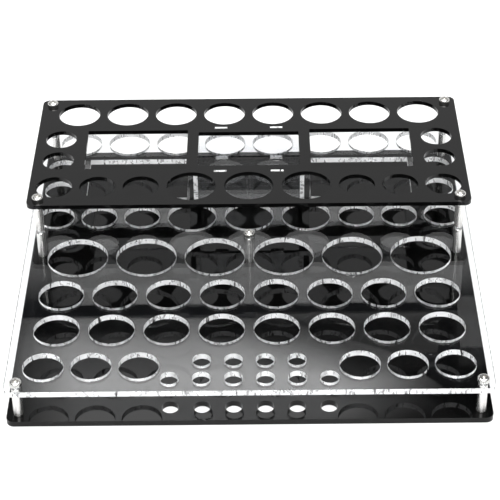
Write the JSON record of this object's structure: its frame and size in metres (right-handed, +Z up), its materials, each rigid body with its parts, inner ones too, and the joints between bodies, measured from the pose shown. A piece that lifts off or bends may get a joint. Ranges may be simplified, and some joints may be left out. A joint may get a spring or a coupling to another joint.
{
  "type": "paint rack organizer",
  "caption": "Low square rack for paint bottles and hobby tools: black base, clear shelf full of round holes, and a black top plate with windows over its rear half.",
  "frame": {"origin": "middle of the base plate's underside, the face that the rack stands on", "axes": "+X to the right, +Y to the back (the side with the top plate), +Z up"},
  "size_m": [0.305, 0.305, 0.056],
  "materials": {
    "black_acrylic": "polished black acrylic sheet, laser-cut edges",
    "clear_acrylic": "clear acrylic sheet, laser-cut edges",
    "standoff_metal": "turned and polished",
    "screw_steel": "bright plated, cross recess"
  },
  "bodies": {
    "root": {"base_plate": "black_acrylic", "base_screw_centre": "screw_steel", "base_screw_front_left": "screw_steel", "base_screw_front_right": "screw_steel", "base_screw_middle_left": "screw_steel", "base_screw_middle_right": "screw_steel", "base_screw_rear_left": "screw_steel", "base_screw_rear_right": "screw_steel", "bin_back_wall": "clear_acrylic", "bin_front_wall": "clear_acrylic", "bin_left_wall": "clear_acrylic", "bin_right_wall": "clear_acrylic", "lower_standoff_centre": "standoff_metal", "lower_standoff_front_left": "standoff_metal", "lower_standoff_front_right": "standoff_metal", "lower_standoff_middle_left": "standoff_metal", "lower_standoff_middle_right": "standoff_metal", "lower_standoff_rear_left": "standoff_metal", "lower_standoff_rear_right": "standoff_metal", "shelf_plate": "clear_acrylic", "shelf_screw_centre": "screw_steel", "shelf_screw_front_left": "screw_steel", "shelf_screw_front_right": "screw_steel", "top_plate": "black_acrylic", "top_screw_middle_left": "screw_steel", "top_screw_middle_right": "screw_steel", "top_screw_rear_left": "screw_steel", "top_screw_rear_right": "screw_steel", "upper_standoff_middle_left": "standoff_metal", "upper_standoff_middle_right": "standoff_metal", "upper_standoff_rear_left": "standoff_metal", "upper_standoff_rear_right": "standoff_metal"}
  },
  "joints": []
}
